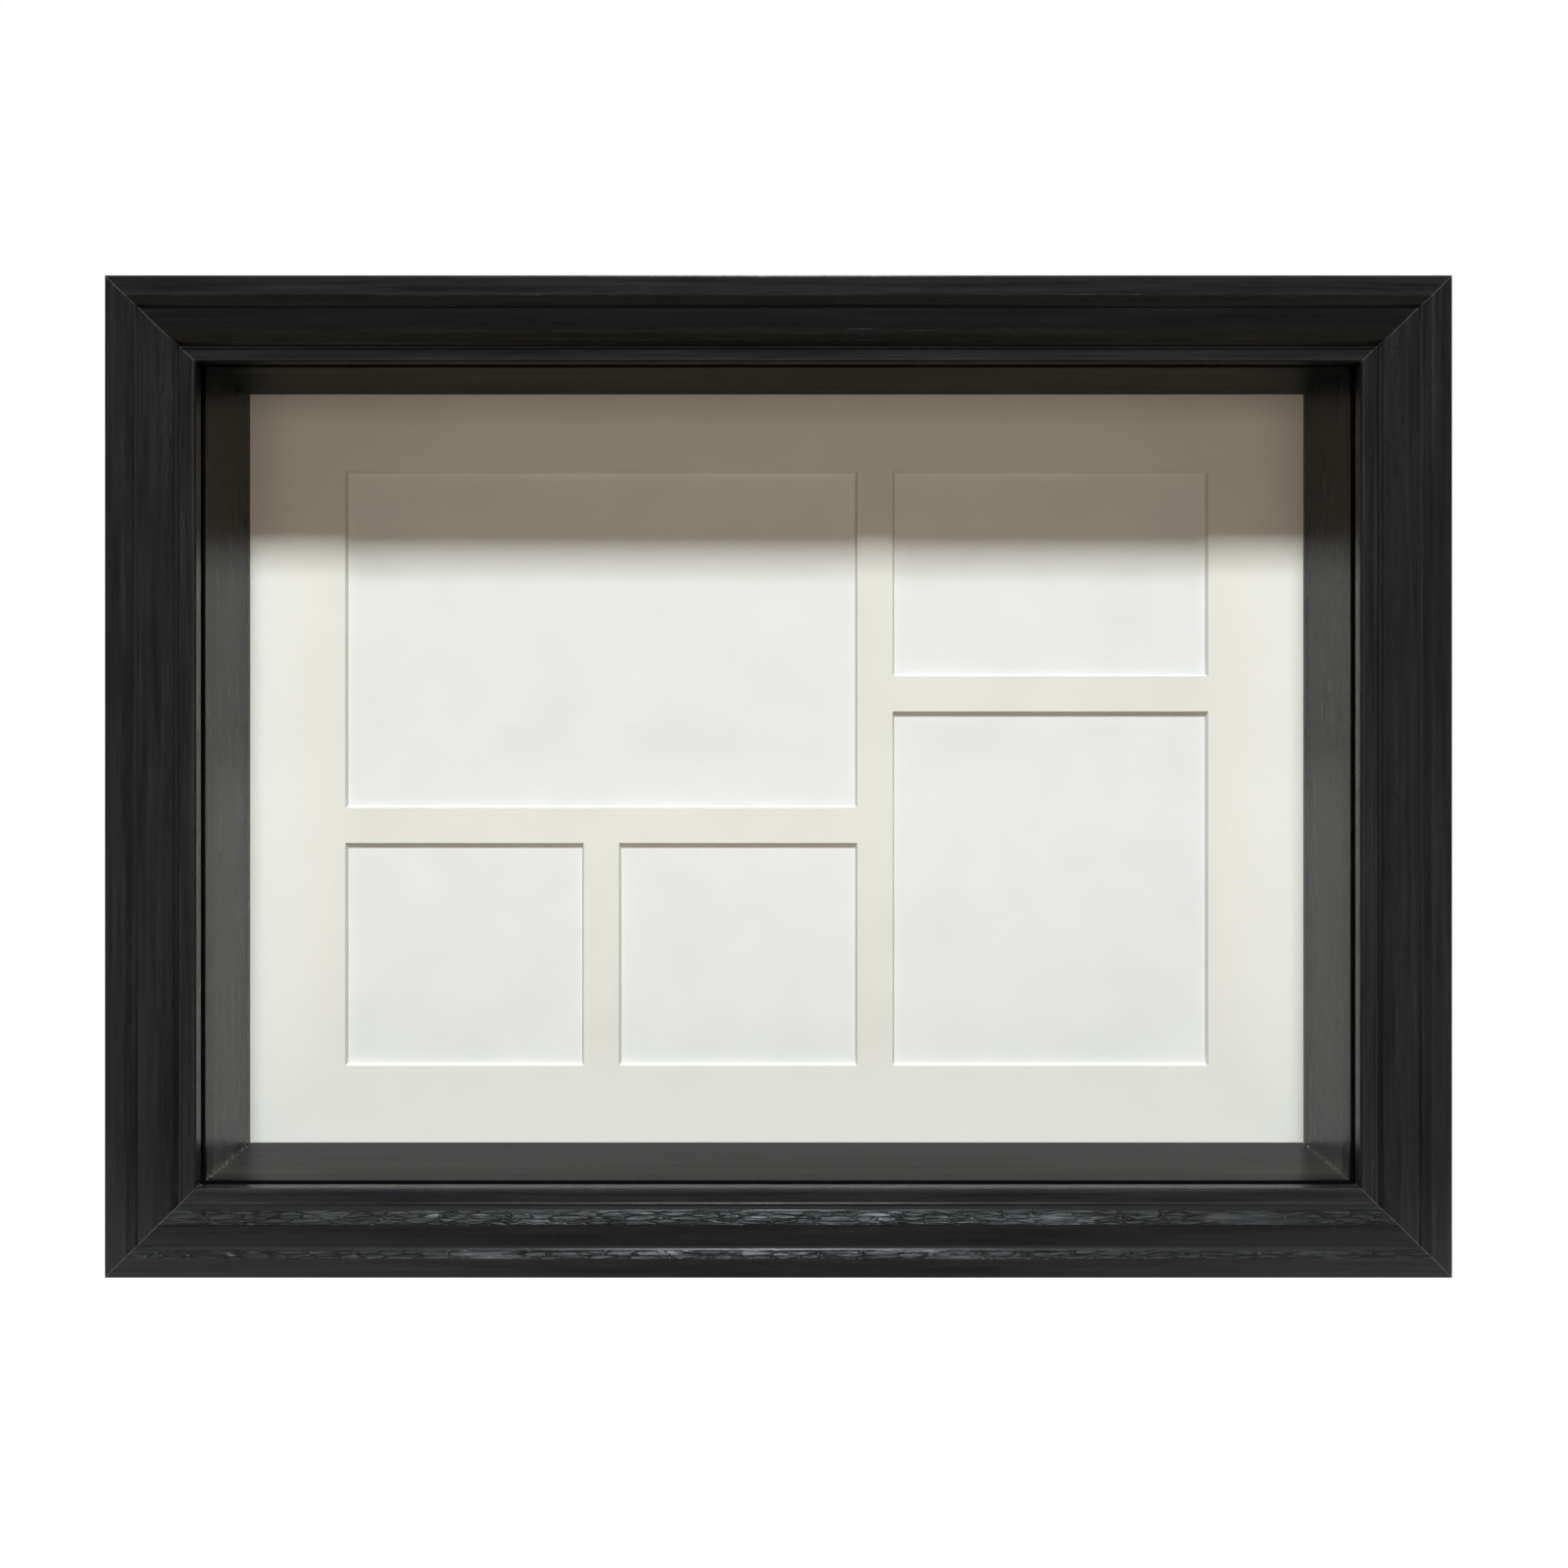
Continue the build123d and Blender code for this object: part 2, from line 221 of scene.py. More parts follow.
# the floor keeps a light shadow close to the frame, and runs out into the white room
away = add(tree, "ShaderNodeVectorMath", {0: where}, operation="LENGTH")
away = add(tree, "ShaderNodeMapRange", {
    "Value": away, "From Min": 0.2, "From Max": 0.6, "To Min": 0.9}, interpolation_type="SMOOTHSTEP")
shown = add(tree, "ShaderNodeMath", {0: shown, 1: away}, operation="MULTIPLY")
paint = linear("9c8f7e")
for share, tone in ((ray["Is Camera Ray"], "f4f4f2"), (cloth, "767674")):
    paint = add(tree, "ShaderNodeMix", {"Factor": share, "A": paint, "B": linear(tone)}, data_type="RGBA")
matt = add(tree, "ShaderNodeBsdfDiffuse", {"Color": paint})
white = add(tree, "ShaderNodeEmission", {"Color": (1, 1, 1, 1)})
ground = add(tree, "ShaderNodeMixShader", {0: shown, 1: matt, 2: white})
add(tree, "ShaderNodeOutputMaterial", {"Surface": ground})
floor_mesh.materials.append(floor_paint)
floor = bpy.data.objects.new("floor", floor_mesh)
scene.collection.objects.link(floor)
print("stage:", floor.name)

# %% [markdown]
# ## Black stained wood
#
# The rails are an open-grained wood such as ash, planed to a moulding, stained black and rubbed
# with a satin finish. The stain fills the pores and leaves fine streaks along the length. On
# the slopes that face the light the torn grain shows as broken grey patches, and the sharp
# edges are rubbed a little paler. Shade is painted darker into the creases and onto some
# cushions. The pattern has to follow each rail and its moulding, so the rails carry their own
# attributes: `grain` runs along and across the wood in metres, `carved` marks the slopes,
# `tearing` how badly the cutter tore that board, `stain` where shade is painted in,
# `dull` the raw corner, `worn` the sharp edges, and `joint` is the distance to the mitre.

# %% Patterns in the rails' wood
board_step = 9    # how far the noise moves from one board number to the next, so that no two match


def along_grain(length, width):
    """A pattern's scale from its length along and its width across the grain, in millimetres."""
    return 1 / (length * MM), 1 / (width * MM), board_step


def figure(tree, grain, length, width, **settings):
    """Noise drawn out along the grain."""
    place = add(tree, "ShaderNodeMapping", {"Vector": grain, "Scale": along_grain(length, width)})
    return add(tree, "ShaderNodeTexNoise", {"Vector": place, "Scale": 1, **settings})


stained_wood, tree = new_material("Ash, planed and black stained")
grain = add(tree, "ShaderNodeAttribute", attribute_name="grain").outputs["Vector"]
worn, joint, carved, tearing, dull, stain = [
    add(tree, "ShaderNodeAttribute", attribute_name=name).outputs["Fac"]
    for name in ("worn", "joint", "carved", "tearing", "dull", "stain")]
# streaks of stain 40 mm long and 1.5 mm wide
streak = figure(tree, grain, 40, 1.5, Detail=4, Roughness=0.62)
streak = add(tree, "ShaderNodeMapRange", {"Value": streak, "From Min": 0.3, "From Max": 0.7})
# pores 5 mm long; real ones are 0.1 mm wide, drawn 0.3 mm wide so that they show
pore = figure(tree, grain, 5, 0.3, Detail=1)
pore = add(tree, "ShaderNodeMapRange", {"Value": pore, "From Min": 0.56, "From Max": 0.7, "To Max": 0.3})
# torn grain in patches of the carved slopes: wavy ridges 18 mm long and 0.8 mm apart
torn = figure(tree, grain, 18, 0.8, Detail=3, Roughness=0.6, Distortion=0.7)
patch = figure(tree, grain, 30, 6)
patch = add(tree, "ShaderNodeMapRange", {"Value": patch, "From Min": 0.36, "From Max": 0.5})
for share in (carved, tearing):
    patch = add(tree, "ShaderNodeMath", {0: patch, 1: share}, operation="MULTIPLY")
# the tears lift flakes 7 mm long and 1.1 mm wide, with thin cracks round them
flake = add(tree, "ShaderNodeMapping", {"Vector": grain, "Scale": along_grain(7, 1.1)})
flake = add(tree, "ShaderNodeVectorMath", {
    0: torn.outputs["Color"], 1: (0.9, 0.9, 0), 2: flake}, operation="MULTIPLY_ADD")
crack = add(tree, "ShaderNodeTexVoronoi", {"Vector": flake, "Scale": 1}, feature="DISTANCE_TO_EDGE")
crack = add(tree, "ShaderNodeMapRange", {"Value": crack, "From Min": 0.12, "From Max": 0.02})
crack = add(tree, "ShaderNodeMath", {0: crack, 1: patch}, operation="MULTIPLY")
print("patterns of the wood:", len(tree.nodes), "nodes")

# %% Colour and sheen of the rails
# edges are rubbed a little paler, broken up by the streaks
rub = add(tree, "ShaderNodeMath", {0: worn, 1: streak}, operation="MULTIPLY")
# a hairline of filler in the mitre, 0.15 mm wide on each rail
line = add(tree, "ShaderNodeMapRange", {"Value": joint, "From Min": 0.15 * MM, "From Max": 0.05 * MM})
line = add(tree, "ShaderNodeMath", {0: line, 1: torn}, operation="MULTIPLY")
dark = add(tree, "ShaderNodeMath", {0: pore, 1: crack}, operation="MAXIMUM")
# painted shade: the creases and cushions are darkened in colour towards 121212, as if shade lay there
tones = ((streak, "272727"), (stain, "121212"), (dark, "101010"), (rub, "2f2f2e"), (line, "74736f"))
colour = linear("171717")
for share, tone in tones:
    colour = add(tree, "ShaderNodeMix", {"Factor": share, "A": colour, "B": linear(tone)}, data_type="RGBA")
# flats are rubbed to a satin, the carved slopes stay duller, and the bead's corner is left raw
rough = add(tree, "ShaderNodeMapRange", {"Value": carved, "To Min": 0.2, "To Max": 0.32})
rough = add(tree, "ShaderNodeMath", {0: streak, 1: 0.08, 2: rough}, operation="MULTIPLY_ADD")
rough = add(tree, "ShaderNodeMath", {0: dull, 1: 0.7, 2: rough}, operation="MULTIPLY_ADD")
height = add(tree, "ShaderNodeMath", {0: torn, 1: patch}, operation="MULTIPLY")
height = add(tree, "ShaderNodeMath", {0: crack, 1: -0.5, 2: height}, operation="MULTIPLY_ADD")
fine = add(tree, "ShaderNodeMath", {0: streak, 1: pore}, operation="SUBTRACT")
height = add(tree, "ShaderNodeMath", {0: fine, 1: 0.03, 2: height}, operation="MULTIPLY_ADD")
surface(tree, {"Base Color": colour, "Roughness": rough, "IOR": 1.5, "Specular IOR Level": 0.23},
        relief=height, strength=1.0, depth=0.3)
print("with colour and sheen:", len(tree.nodes), "nodes")

# %% [markdown]
# ## Black lacquer and matt tape
#
# The walls inside the box and the inner edge of the bead are lacquered: black and smooth, so at
# a low angle they mirror the pale mat as a soft grey sheen. Matt black cloth tape seals the
# glass and swallows nearly all light; its near-black is painted shade for the shadow gap behind
# the bead. Both follow the same `grain` attribute as the rails.

# %% Lacquer and tape
def lacquer(name, sheen, smooth, dull):
    """Lacquered wood: black, with a sheen broken by fine dashes along the strip."""
    wood, tree = new_material(name)
    grain = add(tree, "ShaderNodeAttribute", attribute_name="grain").outputs["Vector"]
    joint = add(tree, "ShaderNodeAttribute", attribute_name="joint").outputs["Fac"]
    # dashes 6 mm long and 0.4 mm wide, and brush marks 60 mm long and 3 mm wide
    dash = figure(tree, grain, 6, 0.4, Detail=3, Roughness=0.6)
    brush = figure(tree, grain, 60, 3)
    # torn fibres, specks of 0.5 mm within 1.2 mm of a lower corner
    speck = figure(tree, grain, 0.5, 0.9)
    speck = add(tree, "ShaderNodeMapRange", {"Value": speck, "From Min": 0.57, "From Max": 0.64})
    near = add(tree, "ShaderNodeMapRange", {"Value": joint, "From Min": 1.2 * MM, "From Max": 0.2 * MM})
    where = add(tree, "ShaderNodeSeparateXYZ", {0: add(tree, "ShaderNodeTexCoord").outputs["Object"]})
    low = add(tree, "ShaderNodeMapRange", {
        "Value": where.outputs["Z"], "From Min": 60 * MM, "From Max": 40 * MM})
    for share in (near, low):
        speck = add(tree, "ShaderNodeMath", {0: speck, 1: share}, operation="MULTIPLY")
    colour = linear("080807")
    for share, tone in ((dash, "0e0e0d"), (speck, "b5b0a2")):
        colour = add(tree, "ShaderNodeMix", {
            "Factor": share, "A": colour, "B": linear(tone)}, data_type="RGBA")
    rough = add(tree, "ShaderNodeMapRange", {
        "Value": brush, "From Min": 0.3, "From Max": 0.7, "To Min": smooth, "To Max": dull})
    nick = add(tree, "ShaderNodeMapRange", {"Value": dash, "From Min": 0.78, "From Max": 0.7})
    surface(tree, {"Base Color": colour, "Roughness": rough, "IOR": 1.5, "Specular IOR Level": sheen},
            relief=nick, strength=0.5, depth=0.02)
    return wood


satin_lacquer = lacquer("Poplar, planed and lacquered satin black", sheen=0.25, smooth=0.26, dull=0.3)
dull_lacquer = lacquer("Poplar, planed and lacquered dull black", sheen=0.07, smooth=0.34, dull=0.4)
bead_polish = lacquer("Ash, bead edge rubbed bright", sheen=0.5, smooth=0.24, dull=0.27)
bead_dull = lacquer("Ash, bead edge left dull", sheen=0.08, smooth=0.34, dull=0.4)

# cloth tape, a weave of 0.4 mm: matt and near-black, painted shade for the shadow gap behind the bead
shadow_gap_tape, tree = new_material("Sealing tape, matt black cloth")
grain = add(tree, "ShaderNodeAttribute", attribute_name="grain").outputs["Vector"]
weave = add(tree, "ShaderNodeTexNoise", {"Vector": grain, "Scale": 1 / (0.4 * MM), "Detail": 1})
colour = add(tree, "ShaderNodeMix", {
    "Factor": weave, "A": linear("040404"), "B": linear("0a0a0a")}, data_type="RGBA")
shader = add(tree, "ShaderNodeBsdfPrincipled", {
    "Base Color": colour, "Roughness": 1.0, "Specular IOR Level": 0.0})
add(tree, "ShaderNodeOutputMaterial", {"Surface": shader})

# %% [markdown]
# ## The moulding's outline
#
# A rail is one outline drawn along a straight line. From the outer edge inwards it has a flat
# band, a slope with a step, a low cushion that turns down into a second slope, a crease, a low
# soft ridge, and a flat bead along the opening. The walls of the step and the crease lean, as a
# cutter leaves them, so that they catch a little light on all four sides. Behind the bead lies
# the rebate for the glass. The outline is kept as a small mesh of points and edges, because its
# points can carry values, such as how worn an edge is, that the sweep then passes on to the rail.

# %% Outline helpers
def curve_to(start, end, turn, count):
    """Points of an arc from start to end that turns by an angle, without its first point."""
    chord = math.dist(start, end)
    heading = math.atan2(end[1] - start[1], end[0] - start[0]) - turn / 2
    points = []
    for i in range(1, count + 1):
        part = turn * i / count
        reach = chord * math.sin(part / 2) / math.sin(turn / 2)
        points.append((start[0] + reach * math.cos(heading + part / 2),
                       start[1] + reach * math.sin(heading + part / 2)))
    return points


def eased(before, corner, after, radius, count=5):
    """Points of a corner rounded to a radius."""
    ways = []
    for end in (before, after):
        length = math.dist(corner, end)
        ways.append(((end[0] - corner[0]) / length, (end[1] - corner[1]) / length))
    angle = math.acos(ways[0][0] * ways[1][0] + ways[0][1] * ways[1][1])
    back = radius / math.tan(angle / 2)
    first, last = [(corner[0] + back * x, corner[1] + back * y) for x, y in ways]
    side = ways[0][0] * ways[1][1] - ways[0][1] * ways[1][0]
    turn = math.copysign(math.pi - angle, -side)
    return [first] + curve_to(first, last, turn, count)


def spaced(points, gap):
    """The closed outline with its long straight runs divided, so that none exceeds gap."""
    made = []
    for (ax, ay), (bx, by) in zip(points, points[1:] + points[:1]):
        count = max(1, math.ceil(math.dist((ax, ay), (bx, by)) / gap(ay, by)))
        made += [(ax + (bx - ax) * i / count, ay + (by - ay) * i / count) for i in range(count)]
    return made


def outline(name, points, edges=(), **masks):
    """Keeps an outline in millimetres as a mesh whose points carry their own values."""
    wear = 0.22    # millimetres from an edge at which the rubbing has faded to a third
    mesh = bpy.data.meshes.new(name)
    count = len(points)
    ring = [(i, (i + 1) % count) for i in range(count)]
    mesh.from_pydata([(x * MM, y * MM, 0) for x, y in points], ring, [])
    run = [0]
    for a, b in zip(points, points[1:]):
        run.append(run[-1] + math.dist(a, b) * MM)
    values = {
        "inward": [x * MM for x, y in points],
        "depth": [y * MM for x, y in points],
        "across": run,
        "worn": [max((math.exp(-math.dist(p, e) / wear) for e in edges), default=0) for p in points],
    }
    for mask_name, mask in masks.items():
        values[mask_name] = [float(mask(x, y)) for x, y in points]
    for value_name, numbers in values.items():
        mesh.attributes.new(value_name, "FLOAT", "POINT").data.foreach_set("value", numbers)
    print(name, "has", count, "points")
    return bpy.data.objects.new(name, mesh)


quarter = eased((0, 2), (0, 0), (2, 0), 1.0, 2)
print("a quarter turn of 1 mm radius:", [tuple(round(v, 2) for v in p) for p in quarter])

# %% Outline of the rails
rail_low, rail_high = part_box("bottom_rail")
rail_depth = (rail_high[1] - rail_low[1]) / MM
rail_face = (rail_high[2] - rail_low[2]) / MM
rebate = rail_face - 6.0    # the lip in front of the glass is 6 mm wide
# from the outer edge inwards, with x across the face and y back from the front
band, arris_x, step_x, cushion_x, turn_x, slope_x, quirk_x = 4.9, 6.9, 7.4, 12.0, 12.9, 15.3, 16.1
ridge_x, ridge_y, bead_x, bead_y = 16.8, 5.35, 17.05, 5.8
step_top, step_foot, cushion_y, turn_y, slope_y, quirk_y = 1.3, 2.0, 2.2, 2.5, 4.4, 5.4
glass_y = 9.75    # the seat stops 0.05 mm short of the glass, so that no two faces share a plane
outer_ease, band_ease, arris_ease, ridge_ease, bead_ease, back_ease = 0.4, 0.6, 0.45, 0.35, 0.25, 0.5
cushion_rise, slope_turn = 0.08, math.radians(24)

front = eased((0, glass_y), (0, 0), (band, 0), outer_ease)
front += eased((0, 0), (band, 0), (arris_x, step_top), band_ease)
front += eased((band, 0), (arris_x, step_top), (step_x, step_foot), arris_ease, 4)
front += [(step_x, step_foot)]
turn = 4 * math.atan(2 * cushion_rise / (cushion_x - step_x))
front += curve_to(front[-1], (cushion_x, cushion_y), turn, 12)
heading = math.atan2(cushion_y - step_foot, cushion_x - step_x) + turn / 2
turn = 2 * (math.atan2(turn_y - cushion_y, turn_x - cushion_x) - heading)
front += curve_to(front[-1], (turn_x, turn_y), turn, 8)
front += curve_to(front[-1], (slope_x, slope_y), slope_turn, 8)
# a second point close to the slope's end keeps the torn grain off the wall of the crease
front += [(slope_x + 0.05, slope_y + 0.06), (quirk_x, quirk_y)]
front += eased((quirk_x, quirk_y), (ridge_x, ridge_y), (bead_x, bead_y), ridge_ease) + [(bead_x, bead_y)]
front += eased((bead_x, bead_y), (rail_face, bead_y), (rail_face, glass_y), bead_ease, 6)
back = [(rail_face, glass_y), (rebate, glass_y), (rebate, rail_depth)]
back += eased((rebate, rail_depth), (0, rail_depth), (0, 0), back_ease)
print("rails", round(rail_face, 2), "mm wide and", round(rail_depth, 2), "mm deep")

# %% What the points of the rails carry
# the finishes end a little before or past the corners, because the corners are rounded
tear_end, tear_start = arris_x - 0.4, cushion_x + 0.5
slope_shade_start, step_start, step_end, crease_end = band + 0.3, arris_x - 0.05, step_x + 0.1, ridge_x - 0.4
raw_x, raw_y = rail_face - 0.4, bead_y + 1.5    # the bead's corner is left raw, and its edge is polished
front_gap, back_gap = 0.35, 4.0    # points lie closer on the face that shows


def carved(x, y):
    """True on the two slopes where the cutter tore the grain."""
    return (band < x < tear_end or tear_start < x <= slope_x) and y < bead_y


# painted shade: the creases and part of the outer slope are darkened in colour, where shade falls
def gathered(x, y):
    """How much shade is painted: all of it in the two creases, some on the outer slope."""
    if y >= bead_y:
        return 0
    if step_start < x < step_end or slope_x < x < crease_end:
        return 1
    return 0.35 if slope_shade_start < x <= arris_x else 0


rail_outline = outline(
    "rail_outline", spaced(front + back, lambda ay, by: front_gap if max(ay, by) <= glass_y else back_gap),
    edges=((0, 0), (band, 0), (arris_x, step_top), (ridge_x, ridge_y), (rail_face, bead_y)),
    carved=carved, gathered=gathered,
    cushion=lambda x, y: step_x < x < turn_x and y < bead_y,
    dull=lambda x, y: x > raw_x and y < raw_y,
    edge=lambda x, y: x > rail_face - 0.01 and y > raw_y)

# %% [markdown]
# ## A tree that sweeps a mitred moulding
#
# The four rails and the four inner walls are the same idea: an outline swept along a side, with
# both ends cut at 45 degrees. A Geometry Nodes tree does this by one rule. A point that lies
# `inward` from the outer edge keeps the share `1 - 2 * inward / length` of its place along the
# side, which is exactly the mitre. The tree then presses a shallow uneven grain into the carved
# faces, so that the highlights break up on real relief and not only on a bump map. Two helpers
# serve all such trees: one starts a tree, and one runs it once and keeps the mesh that comes out.

# %% Helpers for Geometry Nodes
def new_tree(name, **inputs):
    """An empty Geometry Nodes tree with named inputs, _ for a space, and the sockets that give them."""
    tree = bpy.data.node_groups.new(name, "GeometryNodeTree")
    for label, kind in inputs.items():
        tree.interface.new_socket(label.replace("_", " "), in_out="INPUT", socket_type="NodeSocket" + kind)
    tree.interface.new_socket("Geometry", in_out="OUTPUT", socket_type="NodeSocketGeometry")
    return tree, add(tree, "NodeGroupInput").outputs


def grow(name, tree, **values):
    """Runs a Geometry Nodes tree with named inputs and keeps the plain mesh it makes."""
    piece = bpy.data.objects.new(name, bpy.data.meshes.new(name))
    scene.collection.objects.link(piece)
    modifier = piece.modifiers.new("shape", "NODES")
    modifier.node_group = tree
    for item in tree.interface.items_tree:
        if item.name in values:
            modifier[item.identifier] = values[item.name]
    made = piece.evaluated_get(bpy.context.evaluated_depsgraph_get())
    mesh = bpy.data.meshes.new_from_object(made)
    piece.modifiers.remove(modifier)
    piece.data = mesh
    mesh.name = name
    return piece


print("helpers:", new_tree.__name__, "and", grow.__name__)

# %% Tree of the mitred moulding
sweep, given = new_tree(
    "Mitred moulding", Outline="Object", Length="Float", Steps="Int", Relief="Float", Board="Float",
    Tearing="Float", Stain="Float", Place="Vector", Turn="Float", Finish="Material", Edge_finish="Material")
half = add(sweep, "ShaderNodeMath", {0: given["Length"], 1: 0.5}, operation="MULTIPLY")
start = add(sweep, "ShaderNodeMath", {0: half, 1: -1.0}, operation="MULTIPLY")
start = add(sweep, "ShaderNodeCombineXYZ", {"X": start})
end = add(sweep, "ShaderNodeCombineXYZ", {"X": half})
side = add(sweep, "GeometryNodeCurvePrimitiveLine", {"Start": start, "End": end})
side = add(sweep, "GeometryNodeResampleCurve", {"Curve": side, "Count": given["Steps"]})
shape = add(sweep, "GeometryNodeObjectInfo", {"Object": given["Outline"]})
shape = add(sweep, "GeometryNodeMeshToCurve", {"Mesh": shape.outputs["Geometry"]})
bar = add(sweep, "GeometryNodeCurveToMesh", {"Curve": side, "Profile Curve": shape, "Fill Caps": True})
inward, depth, across, slopes, edge, cushion, shaded_creases = [
    add(sweep, "GeometryNodeInputNamedAttribute", {"Name": name}, data_type="FLOAT")
    for name in ("inward", "depth", "across", "carved", "edge", "cushion", "gathered")]
along = add(sweep, "ShaderNodeSeparateXYZ", {0: add(sweep, "GeometryNodeInputPosition")})
share = add(sweep, "ShaderNodeMath", {0: inward, 1: half}, operation="DIVIDE")
share = add(sweep, "ShaderNodeMath", {0: 1.0, 1: share}, operation="SUBTRACT")
mitred = add(sweep, "ShaderNodeMath", {0: along.outputs["X"], 1: share}, operation="MULTIPLY")
spot = add(sweep, "ShaderNodeCombineXYZ", {"X": mitred, "Y": depth, "Z": inward})
bar = add(sweep, "GeometryNodeSetPosition", {"Geometry": bar, "Position": spot})
print("the swept bar:", len(sweep.nodes), "nodes")

# %% What the materials read
# place in the grain, distance to the mitre, how torn, and how much shade is painted
now = add(sweep, "ShaderNodeSeparateXYZ", {0: add(sweep, "GeometryNodeInputPosition")})
grain = add(sweep, "ShaderNodeCombineXYZ", {"X": now.outputs["X"], "Y": across, "Z": given["Board"]})
beyond = add(sweep, "ShaderNodeMath", {0: now.outputs["X"]}, operation="ABSOLUTE")
gap = add(sweep, "ShaderNodeMath", {0: half, 1: inward}, operation="SUBTRACT")
gap = add(sweep, "ShaderNodeMath", {0: gap, 1: beyond}, operation="SUBTRACT")
# painted shade: the cushions take each rail's share and the creases all of it
thick = add(sweep, "ShaderNodeMath", {0: cushion, 1: given["Stain"], 2: shaded_creases}, operation="MULTIPLY_ADD")
for name, value, kind in (("grain", grain, "FLOAT_VECTOR"), ("joint", gap, "FLOAT"),
                          ("tearing", given["Tearing"], "FLOAT"), ("stain", thick, "FLOAT")):
    bar = add(sweep, "GeometryNodeStoreNamedAttribute", {
        "Geometry": bar, "Name": name, "Value": value}, data_type=kind)
    print("stored:", name)

# %% Relief and finish of the moulding
# grain relief, 14 mm long and 1.1 mm wide, pressed in and fading out 3 mm from the mitres
size = add(sweep, "ShaderNodeVectorMath", {0: grain, 1: along_grain(14, 1.1)}, operation="MULTIPLY")
relief = add(sweep, "ShaderNodeTexNoise", {"Vector": size, "Scale": 1, "Detail": 3, "Distortion": 0.6})
inset = add(sweep, "ShaderNodeMapRange", {"Value": gap, "From Max": 3 * MM})
for share in (slopes, relief, given["Relief"], -1.0):
    inset = add(sweep, "ShaderNodeMath", {0: inset, 1: share}, operation="MULTIPLY")
press = add(sweep, "ShaderNodeVectorMath", {
    0: add(sweep, "GeometryNodeInputNormal"), "Scale": inset}, operation="SCALE")
bar = add(sweep, "GeometryNodeFlipFaces", {"Mesh": bar})
bar = add(sweep, "GeometryNodeSetPosition", {"Geometry": bar, "Offset": press})
angle = add(sweep, "GeometryNodeInputMeshEdgeAngle")
gentle = add(sweep, "FunctionNodeCompare", {0: angle, 1: math.radians(40)}, operation="LESS_THAN")
bar = add(sweep, "GeometryNodeSetShadeSmooth", {"Geometry": bar, "Shade Smooth": True})
bar = add(sweep, "GeometryNodeSetShadeSmooth", {"Geometry": bar, "Shade Smooth": gentle}, domain="EDGE")
spin = add(sweep, "ShaderNodeCombineXYZ", {"Y": given["Turn"]})
bar = add(sweep, "GeometryNodeTransform", {
    "Geometry": bar, "Translation": given["Place"], "Rotation": spin})
bar = add(sweep, "GeometryNodeRealizeInstances", {"Geometry": bar})
bar = add(sweep, "GeometryNodeSetMaterial", {"Geometry": bar, "Material": given["Finish"]})
edge = add(sweep, "FunctionNodeCompare", {0: edge, 1: 0.9}, operation="GREATER_THAN")
bar = add(sweep, "GeometryNodeSetMaterial", {
    "Geometry": bar, "Selection": edge, "Material": given["Edge finish"]})
add(sweep, "NodeGroupOutput", {"Geometry": bar})
print("tree:", sweep.name, "with", len(sweep.nodes), "nodes")

# %% Rails
outer_w = cad_box[1][0] - cad_box[0][0]
outer_h = cad_box[1][2] - cad_box[0][2]
sides = {
    "bottom": (outer_w, (0, front_y, 0), 0),
    "left": (outer_h, (-outer_w / 2, front_y, outer_h / 2), 90),
    "top": (outer_w, (0, front_y, outer_h), 180),
    "right": (outer_h, (outer_w / 2, front_y, outer_h / 2), -90),
}
rail_step, wall_step = 1.5 * MM, 2 * MM    # from one cross-section of a sweep to the next
# only the bottom rail was cut against the grain; shade is painted on the cushions of the top and
# bottom rails, darkest on the top
tears = {"bottom": 1.5, "left": 0.4, "top": 0.3, "right": 0.4}
painted_shades = {"bottom": 0.4, "left": 0.0, "top": 0.75, "right": 0.0}
for number, (name, (length, place, turn)) in enumerate(sides.items()):
    rail = grow(f"{name}_rail_moulding", sweep, Outline=rail_outline, Length=length,
                Steps=round(length / rail_step), Relief=0.06 * MM, Board=1.7 * number, Tearing=tears[name],
                Stain=painted_shades[name], Place=place, Turn=math.radians(turn), Finish=stained_wood,
                **{"Edge finish": bead_dull if name == "top" else bead_polish})
    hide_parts(f"{name}_rail")
    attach(rail, "frame")
    shell = bmesh.new()
    shell.from_mesh(rail.data)
    volume = shell.calc_volume(signed=True) / MM ** 3
    shell.free()
    print(rail.name, len(rail.data.polygons), "faces,", round(volume), "mm3")

# %% [markdown]
# ## Black inner walls
#
# Behind the glass, four flat strips hold the mat 30 mm back and make the walls of the box. Near
# the corners their lacquer mirrors the next wall and not the mat, so it goes dark. Near-black
# tape covers their ends under the glass and paints in the shadow gap, a black line behind the
# bead. A few pale fibres show in the lower corners, where the saw tore the ends of the strips.

# %% Inner walls
spacer_low, spacer_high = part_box("bottom_spacer")
near, far = spacer_low[2] / MM, spacer_high[2] / MM
start, end = (spacer_low[1] - front_y) / MM + 0.05, (spacer_high[1] - front_y) / MM
